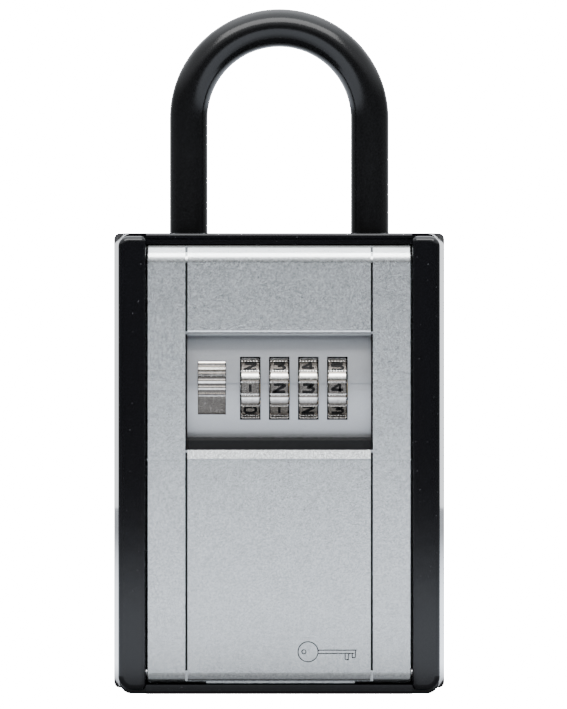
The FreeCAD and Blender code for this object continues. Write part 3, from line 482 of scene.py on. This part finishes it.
SIX = [curve((0.75, 1), (-0.3, 0.95), (-0.9, 0.3), (-0.9, -0.4)), oval(0, -0.4, 0.9, 0.6)]
STROKES = {
    0: [oval(0, 0, 0.9, 1)],
    1: [curve((0, 1.05), (0, -1.05))],
    2: [curve((-0.9, 1), (0.85, 1), (0.85, 0.62), (-0.9, -0.98), (-0.9, -1), (0.95, -1))],
    3: [curve((-0.85, 1), (0.7, 1), (0.65, 0.85), (-0.1, 0.18), (0.6, 0.18), (0.95, -0.3), (0.6, -1),
              (-0.95, -1))],
    4: [curve((0.4, -1), (0.4, 1), (0.2, 1), (-1, -0.42), (0.95, -0.42))],
    5: [curve((0.9, 1), (-0.8, 1), (-0.85, 0.2), (0.6, 0.22), (0.95, -0.35), (0.6, -1), (-0.9, -1))],
    6: SIX,
    7: [curve((-0.9, 1), (0.9, 1), (0.8, 0.7), (-0.35, -1.05))],
    8: [oval(0, 0.52, 0.75, 0.48), oval(0, -0.46, 0.9, 0.54)],
    9: [-stroke for stroke in SIX],
}
print("strokes:", sum(len(strokes) for strokes in STROKES.values()), "for", len(STROKES), "digits")

# %% [markdown]
# ## Ribbons
# Paint along a stroke is a thin, flat ribbon with square sides. Its two edges are the stroke moved
# sideways; four corners per point, joined along the stroke, close it into a solid strip.

# %% Ribbons on a plane
def ribbon(path, width, closed):
    """Both edges of a flat stroke: each point moves sideways along the mean normal of its two runs.

    The mean normal is lengthened by the inverse cosine of half the turn, up to 1.6, so that the
    stroke keeps its width round a bend.
    """
    ahead, behind = np.roll(path, -1, 0) - path, path - np.roll(path, 1, 0)
    if not closed:
        ahead[-1], behind[0] = behind[-1], ahead[0]
    unit = [run / np.linalg.norm(run, axis=1, keepdims=True) for run in (ahead, behind)]
    mean = unit[0] + unit[1]
    mean /= np.maximum(np.linalg.norm(mean, axis=1, keepdims=True), 1e-9)
    widen = 1 / np.maximum(np.sum(mean * unit[0], axis=1, keepdims=True), 0.62)
    normal = np.stack([-mean[:, 1], mean[:, 0]], -1) * widen * width / 2
    return path + normal, path - normal


def gather(parts):
    """One set of points and one list of faces from several, each part's faces numbered on."""
    points, faces, first = [], [], 0
    for spots, quads in parts:
        points.append(spots)
        faces += [[corner + first for corner in quad] for quad in quads]
        first += len(spots)
    return np.concatenate(points), faces


def raised_strokes(strokes, size, width, origin, along, up, out, low, high):
    """Points and faces of closed ribbons on a plane, from low to high along its outward direction."""
    parts = []
    for path in strokes:
        closed = np.linalg.norm(path[0] - path[-1]) < 0.7 and len(path) > 20
        left, right = ribbon(path * size, width, closed)
        section = [(left, low), (right, low), (right, high), (left, high)]
        ring = np.stack([origin + edge[:, :1] * along + edge[:, 1:] * up + height * out
                         for edge, height in section], 1)
        join = ring_faces if closed else tube_faces
        parts.append((ring.reshape(-1, 3), join(len(path), 4)))
    return gather(parts)


tried_points, tried_faces = raised_strokes(STROKES[3], MM, 0.5 * MM, np.zeros(3), *np.eye(3), 0, 0.1 * MM)
print("a three is a ribbon of", len(tried_points), "points and", len(tried_faces), "faces")

# %% [markdown]
# ## Digits on the wheels
# Digit n stands n steps round the wheel, and each wheel starts one digit on from its neighbour.
# The ribbons lie on the flats and stand a little proud. Each wheel's ten digits are one piece.

# %% Digits
X_AXIS, Z_AXIS, FORWARD = np.array([1, 0, 0]), np.array([0, 0, 1]), np.array([0, -1, 0])
DIGIT_SIZE, DIGIT_STROKE = np.array([1.56, 0.90]) * MM, 0.66 * MM


def wheel_digits(number):
    """All ten digits of one wheel; digit n of wheel w sits (n - w) steps above the front."""
    low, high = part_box(f"number_wheel_{number}")
    middle = (low.x + high.x) / 2
    parts = []
    for digit, strokes in STROKES.items():
        turn = (digit - number) * STEP
        out = np.array([0, -math.cos(turn), math.sin(turn)])
        up = np.array([0, math.sin(turn), math.cos(turn)])
        parts.append(raised_strokes(strokes, DIGIT_SIZE, DIGIT_STROKE, np.array([middle, AXLE_Y, AXLE_Z]),
                                    X_AXIS, up, out, FLAT - 0.02 * MM, FLAT + 0.08 * MM))
    return piece(f"dial_digits_{number}", *gather(parts), "works_black", f"wheel_{number}")


digit_sets = [wheel_digits(number) for number in WHEELS]
print("digits:", sum(len(made.data.polygons) for made in digit_sets), "faces on", len(digit_sets), "wheels")

# %% [markdown]
# ## A plain key sign
# The sliding cover carries a small sign near its foot. Here it is a generic key, drawn with the
# same ribbons as the digits: a round bow with its eye, a shank and two bits.

# %% Key sign on the cover
cover_low, cover_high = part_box("cover_slide")
SIGN_MIDDLE = np.array([12.0 * MM, cover_low.y, 10.7 * MM])
SIGN = [oval(-0.64, 0, 0.34, 0.34, squareness=2.0, count=36), oval(-0.78, 0, 0.07, 0.07, 2.0, 24),
        curve((-0.30, 0.055), (1.0, 0.055)), curve((-0.30, -0.055), (0.94, -0.055)),
        curve((0.62, -0.055), (0.62, -0.27), (0.74, -0.27), (0.74, -0.055), rounds=1),
        curve((0.86, -0.055), (0.86, -0.20), (0.97, -0.20), (0.97, 0.055), rounds=1)]
SIGN_HALF, SIGN_STROKE = 7.4 * MM, 0.24 * MM
key_sign = piece("key_sign", *raised_strokes(SIGN, SIGN_HALF, SIGN_STROKE, SIGN_MIDDLE, X_AXIS, Z_AXIS,
                                             FORWARD, -0.02 * MM, 0.03 * MM), "works_black", "cover")
print("key sign:", len(key_sign.data.polygons), "faces")

# %% [markdown]
# ## Painted shadow lines beside the cover
# A narrow gap runs up each side of the cover and on to the door's top edge. Its floor is silver like
# the face and would look as bright, so a thin dark strip lies on the floor of each gap as painted shadow:
# the upper ones are part of the door, and the lower ones lie on the cover's guide tongues and slide up
# with them.

# %% Painted shadow strips in the gaps
door_low, door_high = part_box("door_shell")
COVER_EDGE, GAP = 23.0 * MM, 0.6 * MM
TONGUE_DEPTH, GROOVE_DEPTH, WINDOW_TOP = 0.75 * MM, 1.4 * MM, 90.6 * MM
LINE_DROP, LINE_FOOT = 4.4 * MM, 6.0 * MM       # below the door's top, and above the ground


def gap_shadow_strips(name, depth, z0, z1, body):
    """One painted shadow ribbon per side, a little narrower than the gap, from z0 to z1 at a depth behind
    the face.
    """
    upright = np.array([(0, -1.0), (0, 0), (0, 1.0)])
    parts = []
    for side in (-1, 1):
        middle = np.array([side * (COVER_EDGE + GAP / 2), door_low.y + depth, (z0 + z1) / 2])
        parts.append(raised_strokes([upright], (z1 - z0) / 2, GAP * 0.94, middle, X_AXIS, Z_AXIS, FORWARD,
                                    -0.01 * MM, 0.03 * MM))
    return piece(name, *gather(parts), "works_black", body)


# the dark strips stand in for the shadow in the gaps
upper_shadow_lines = gap_shadow_strips("door_gap_shadow_lines", GROOVE_DEPTH, WINDOW_TOP + GAP, door_high.z - LINE_DROP, "door")
lower_shadow_lines = gap_shadow_strips("cover_gap_shadow_lines", TONGUE_DEPTH, LINE_FOOT, cover_high.z - GAP, "cover")
print("gap strips:", len(upper_shadow_lines.data.polygons) + len(lower_shadow_lines.data.polygons), "faces")

# %% [markdown]
# ## The latch's coil spring
# In CAD the spring is a plain tube of its outer size. The real one is round wire wound into a
# helix, with its last turn at each end laid flat. A circle carried along the helix, in the frame
# of the radius and the binormal, gives the wire.

# %% Coil spring
spring_low, spring_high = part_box("latch_spring")
WIRE, TURNS = 0.32 * MM, 10
travel = next(joint for joint in frame["record"]["behaviour"]["joints"] if joint["name"] == "latch_travel")


def helix(low, high, wire, turns):
    """Points of the wire: centre (R cos a, R sin a, z), section wire * (cos s * radial + sin s * binormal).

    The height rises by one wire over the first and last turn, and evenly between them.
    """
    angle = np.linspace(0, turns * 2 * math.pi, turns * 28 + 1)
    done = angle / (2 * math.pi)
    span = high.z - low.z - 2 * wire
    ends = 2.1 * wire
    z = low.z + wire + np.interp(done, [0, 1, turns - 1, turns], [0, ends, span - ends, span])
    radius = (high.x - low.x) / 2 - wire
    radial = np.stack([np.cos(angle), np.sin(angle), np.zeros_like(angle)], -1)
    centre = radial * radius + np.stack([np.full_like(z, (low.x + high.x) / 2),
                                         np.full_like(z, (low.y + high.y) / 2), z], -1)
    ahead = np.gradient(centre, axis=0)
    ahead /= np.linalg.norm(ahead, axis=1, keepdims=True)
    binormal = np.cross(radial, ahead)
    section = np.linspace(0, 2 * math.pi, 10, endpoint=False)[None, :, None]
    return centre[:, None] + wire * (np.cos(section) * radial[:, None] + np.sin(section) * binormal[:, None])


coil_points = helix(spring_low, spring_high, WIRE, TURNS)
coil = piece("latch_coil", coil_points, tube_faces(*coil_points.shape[:2]), "spring_steel", "door")
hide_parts("latch_spring")
length = spring_high.z - spring_low.z
1 - abs(travel["range_m"][0]) / length
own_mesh(coil)
print(f"coil: {TURNS} turns, {length / MM:.1f} mm long")

# %% [markdown]
# ## Back pad
# A rubber pad covers the back, so that the hanging box doesn't scratch a door. It is moulded with
# shallow ribs inside a plain border. Its back is one height field over a rounded rectangle: a
# square grid whose corners are drawn in to round arcs.

# %% Rounded grid
pad_low, pad_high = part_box("back_pad")
PAD_COLUMNS, PAD_ROWS, PAD_CORNER, PAD_EDGE = 40, 240, 1.6 * MM, 0.25 * MM
RIB_DEPTH, RIB_STEP, PAD_BORDER, RIB_FADE = 0.35 * MM, 3.0 * MM, 5.0 * MM, 0.6 * MM


def pad_grid(columns, rows):
    """Rounded rectangle filled with a grid.

    Past the corner centres the offset vector is scaled by its larger part over its length, which
    draws each square corner in to a quarter circle.
    """
    half_x, half_z = (pad_high.x - pad_low.x) / 2, (pad_high.z - pad_low.z) / 2
    inner_x, inner_z = np.linspace(-0.975, 0.975, columns - 6), np.linspace(-0.98, 0.98, rows - 6)
    spread_x = np.concatenate([[-1, -0.995, -0.988], inner_x, [0.988, 0.995, 1]])
    spread_z = np.concatenate([[-1, -0.996, -0.991], inner_z, [0.991, 0.996, 1]])
    x, z = np.meshgrid(spread_x * half_x, spread_z * half_z, indexing="ij")
    over_x, over_z = (np.clip(np.abs(x) - half_x + PAD_CORNER, 0, None),
                      np.clip(np.abs(z) - half_z + PAD_CORNER, 0, None))
    scale = np.maximum(over_x, over_z) / np.maximum(np.hypot(over_x, over_z), 1e-9)
    x = np.sign(x) * (np.abs(x) - over_x * (1 - scale))
    z = np.sign(z) * (np.abs(z) - over_z * (1 - scale))
    return x, z + (pad_low.z + pad_high.z) / 2


print("pad grid:", pad_grid(PAD_COLUMNS, PAD_ROWS)[0].size, "points a side")

# %% [markdown]
# ## The pad's ribs
# The grooves are a clipped cosine of the height, faded out towards the border. The flat front and
# the grooved back share one grid, and a wall of quads joins their outlines.

# %% Ribbed pad
def pad_points(columns, rows):
    """Front and back grids: inside the border a clipped cosine of the height lowers the back in grooves."""
    x, z = pad_grid(columns, rows)
    middle, half_z = (pad_low.z + pad_high.z) / 2, (pad_high.z - pad_low.z) / 2
    inside = np.clip(np.minimum(pad_high.x - PAD_BORDER - np.abs(x),
                                half_z - PAD_BORDER - np.abs(z - middle)) / RIB_FADE, 0, 1)
    wave = np.clip(0.5 + 1.6 * np.cos(2 * math.pi * z / RIB_STEP), 0, 1)
    depth = RIB_DEPTH * inside * wave
    depth[[0, -1], :] = depth[:, [0, -1]] = PAD_EDGE
    return np.stack([x, np.full_like(x, pad_low.y), z], -1), np.stack([x, pad_high.y - depth, z], -1)


def slab_faces(columns, rows):
    """Quads of two facing grids, and the wall between their outlines."""
    c, r = np.meshgrid(np.arange(columns - 1), np.arange(rows - 1), indexing="ij")
    at = c * rows + r
    front = np.stack([at, at + rows, at + rows + 1, at + 1], -1).reshape(-1, 4)
    back = front[:, ::-1] + columns * rows
    across, upward = np.arange(columns) * rows, np.arange(rows)
    loop = np.concatenate([across[:-1], upward[:-1] + (columns - 1) * rows,
                           (across + rows - 1)[:0:-1], upward[:0:-1]])
    after = np.roll(loop, -1)
    wall = np.stack([loop, loop + columns * rows, after + columns * rows, after], -1)
    return np.concatenate([front, back, wall]).tolist()


ribbed_pad = piece("ribbed_pad", np.stack(pad_points(PAD_COLUMNS, PAD_ROWS)),
                   slab_faces(PAD_COLUMNS, PAD_ROWS), "pad_rubber", "root")
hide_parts("back_pad")
print("pad:", len(ribbed_pad.data.polygons), "faces")

# %% [markdown]
# ## Screws
# The screws behind the door have pan heads with a cross recess and a rolled thread. One profile
# carried round the axis gives a screw: its radius follows the thread's wave along the shank, and
# over the head the height is lowered wherever a cross of two soft bands lies.

# %% Screws with a cross recess
THREAD_PITCH, THREAD_DEPTH, TIP_TAPER = 0.8 * MM, 0.10 * MM, 1.2 * MM
CROSS_HALF, CROSS_REACH, CROSS_DEPTH = 0.16, 0.62, 0.55
SCREW_SIDES, SHANK_RINGS, WALL_RINGS, DOME_RINGS = 64, 90, 3, 30


def screw(base, out, shank_radius, shank, head_radius, head):
    """Rings from the tip to the middle of the head.

    base is the centre under the head, out points along the head. Shank: radius + thread depth *
    cosine of (height / pitch - turn), tapered at the tip. Head: a low wall and a dome, less a cross
    whose bands fade out CROSS_HALF from the middle line and CROSS_REACH from the centre, both as
    shares of the head's radius.
    """
    turn = np.linspace(0, 2 * math.pi, SCREW_SIDES, endpoint=False)
    height = np.linspace(-shank, 0, SHANK_RINGS)[:, None]
    taper = np.clip((height + shank) / TIP_TAPER, 0.15, 1)
    wave = (np.cos(2 * math.pi * height / THREAD_PITCH - turn) - 1) * 0.5
    radius = (shank_radius - THREAD_DEPTH) * taper + THREAD_DEPTH * wave
    share = np.concatenate([np.ones(WALL_RINGS), np.linspace(1.0, 0.02, DOME_RINGS)])[:, None]
    wall = np.concatenate([np.linspace(0, 0.5, WALL_RINGS), np.zeros(DOME_RINGS)])[:, None]
    dome = 0.5 + 0.5 * np.sqrt(np.clip(1 - (share * 0.98) ** 4, 0, 1))
    height_share = np.where(np.arange(len(share))[:, None] < WALL_RINGS, wall, dome)
    across = share * np.abs(np.stack([np.cos(turn), np.sin(turn)]))[:, None]
    band = np.clip((CROSS_HALF - np.minimum(*across)) / 0.05, 0, 1)
    reach = np.clip((CROSS_REACH - np.maximum(*across)) / 0.08, 0, 1)
    head_climb = (height_share - CROSS_DEPTH * band * reach) * head
    radii = np.concatenate([radius, np.broadcast_to(share * head_radius, head_climb.shape)])
    climbs = np.concatenate([np.broadcast_to(height, radius.shape), head_climb])
    out = np.array(out, float)
    side = np.cross(out, [1.0, 0, 0]) if abs(out[0]) < 0.5 else np.cross(out, [0, 1.0, 0])
    other = np.cross(out, side)
    spin = np.cos(turn)[:, None] * side + np.sin(turn)[:, None] * other
    return np.array(base) + radii[..., None] * spin + climbs[..., None] * out


print("a screw has", SHANK_RINGS + WALL_RINGS + DOME_RINGS, "rings of", SCREW_SIDES, "points")

# %% [markdown]
# ## The two sets of screws
# Four small screws hold the works' cover on the door, and two large ones hold the shackle's tray
# under the roof. Their places come from the boxes of the CAD screws that they replace.

# %% Sets of screws
def screw_set(name, node, body, places, out, shank_radius, shank, head_radius, head):
    """Several screws in one piece, which replaces the CAD node of the same screws."""
    parts = []
    for place in places:
        grid = screw(place, out, shank_radius, shank, head_radius, head)
        parts.append((grid.reshape(-1, 3), tube_faces(*grid.shape[:2])))
    made = piece(name, *gather(parts), "bright_steel", body)
    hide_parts(node)
    return made


low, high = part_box("back_cover_screws")
SMALL_RADIUS, SMALL_HEAD, SMALL_HEAD_RADIUS = 0.98 * MM, 1.1 * MM, 2.1 * MM
corners = [(x, high.y - SMALL_HEAD, z) for x in (low.x + SMALL_HEAD_RADIUS, high.x - SMALL_HEAD_RADIUS)
           for z in (low.z + SMALL_HEAD_RADIUS, high.z - SMALL_HEAD_RADIUS)]
cover_screws = screw_set("works_screws", "back_cover_screws", "door", corners, (0, 1, 0), SMALL_RADIUS,
                         high.y - low.y - SMALL_HEAD, SMALL_HEAD_RADIUS, SMALL_HEAD)
low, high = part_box("shackle_cover_screws")
LARGE_RADIUS, LARGE_HEAD, LARGE_HEAD_RADIUS = 1.48 * MM, 1.4 * MM, 2.7 * MM
ends = [(x, (low.y + high.y) / 2, low.z + LARGE_HEAD)
        for x in (low.x + LARGE_HEAD_RADIUS, high.x - LARGE_HEAD_RADIUS)]
tray_screws = screw_set("tray_screws", "shackle_cover_screws", "root", ends, (0, 0, -1), LARGE_RADIUS,
                        high.z - low.z - LARGE_HEAD, LARGE_HEAD_RADIUS, LARGE_HEAD)
print("screws:", len(cover_screws.data.polygons) + len(tray_screws.data.polygons), "faces")

# %% [markdown]
# ## The floor
# The box stands on a pale floor in an even white room. Gloss black shows what surrounds it, so the
# surroundings are the real material work. The floor's colour holds a painted pool of light in a ring, which
# the lower door and the posts mirror; near the box it is painted dark as contact shadow, and beyond the ring
# it is dark, so the posts stay black above. The eye itself sees a white ground: the floor adds it for camera
# rays alone.

# %% Floor
WHITE = 24.0
# the dark colour is painted contact shadow near the box and darkness beyond the ring; the pale one is a
# painted pool of light
FLOOR_SHADE, FLOOR_POOL = (0.07, 0.073, 0.08), (0.72, 0.76, 0.82)
RING_START, RING_FULL, RING_END = 0.03, 0.26, 0.8       # metres from the middle of the box


def floor_with_painted_pool(reach_front, reach):
    """A floor with a painted pool of light in a ring, from RING_FULL to RING_END, painted shadow inside it
    and dark beyond it.
    """
    finish = Finish("pale_floor", FLOOR_POOL, 0.6)
    away = finish.node("ShaderNodeVectorMath", {"operation": "LENGTH"}, {0: finish.place()}, out="Value")
    # painted shadow near the box, a painted pool of light in the ring, dark again beyond it
    lit = away.above(RING_START, RING_FULL) * (1 - away.above(RING_END, reach_front))
    finish.feed("Base Color", finish.mix(lit, FLOOR_SHADE, FLOOR_POOL))
    eye = finish.node("ShaderNodeLightPath", out="Is Camera Ray")
    finish.shader.inputs["Emission Color"].default_value = (1, 1, 1, 1)
    finish.put(finish.shader.inputs["Emission Strength"], eye * WHITE)
    mesh = bpy.data.meshes.new("floor")
    corners = [(-reach, -reach_front, 0), (reach, -reach_front, 0), (reach, reach, 0), (-reach, reach, 0)]
    mesh.from_pydata(corners, [], [(0, 1, 2, 3)])
    mesh.materials.append(finish.material)
    made = bpy.data.objects.new("floor", mesh)
    bpy.context.scene.collection.objects.link(made)
    return made


print("floor:", tuple(floor_with_painted_pool(reach_front=2.4, reach=3.0).dimensions)[:2], "m")

# %% [markdown]
# ## Light and room
# A softbox over the front lights the floor, whose ring is also a painted pool of light. Behind the camera
# the room is dim, which keeps the posts black; towards the back it is brighter, which draws the bright rim
# on the drafted walls; overhead it is brightest. The room is white for camera rays, as the floor is.

# %% Softbox and room
def softbox(name, place, aim, width, height, glow):
    """A soft rectangular light of even radiance glow."""
    light = bpy.data.lights.new(name, "AREA")
    light.shape = "RECTANGLE"
    light.size, light.size_y = width, height
    light.energy = glow * math.pi * width * height
    made = bpy.data.objects.new(name, light)
    made.location = place
    made.rotation_euler = (Vector(aim) - Vector(place)).to_track_quat("-Z", "Y").to_euler()
    bpy.context.scene.collection.objects.link(made)
    return made


class Room(Finish):
    """The world, written with the same helpers: its shader is the Background node."""

    def __init__(self, name):
        self.world = bpy.data.worlds.new(name)
        self.world.use_nodes = True
        self.tree = self.world.node_tree
        self.shader = self.tree.nodes["Background"]
        bpy.context.scene.world = self.world


def surroundings(front, side, back, sky):
    """Radiance of the room by direction: front behind the camera, sides, back, and more overhead."""
    room = Room("studio")
    way = room.node("ShaderNodeTexCoord", out="Generated")
    along = room.node("ShaderNodeSeparateXYZ", {}, {0: way}, out="Y")
    rise = room.node("ShaderNodeSeparateXYZ", {}, {0: way}, out="Z")
    glow = (along.above(-0.7, 0.3) * (side - front) + along.above(0.5, 0.97) * (back - side)
            + rise.above(0.2, 0.5) * sky + rise.above(0.65, 0.95) * (2 * sky) + front)
    eye = room.node("ShaderNodeLightPath", out="Is Camera Ray")
    room.feed("Strength", eye * WHITE + (1 - eye) * glow)
    room.feed("Color", room.mix(eye, (0.93, 0.96, 1.0), (1.0, 1.0, 1.0)))


softbox("front_softbox", place=(0, -0.85, 1.1), aim=(0, -0.6, 0), width=1.4, height=0.7, glow=12.0)
surroundings(front=0.04, side=0.36, back=1.8, sky=1.8)
print("studio lit")
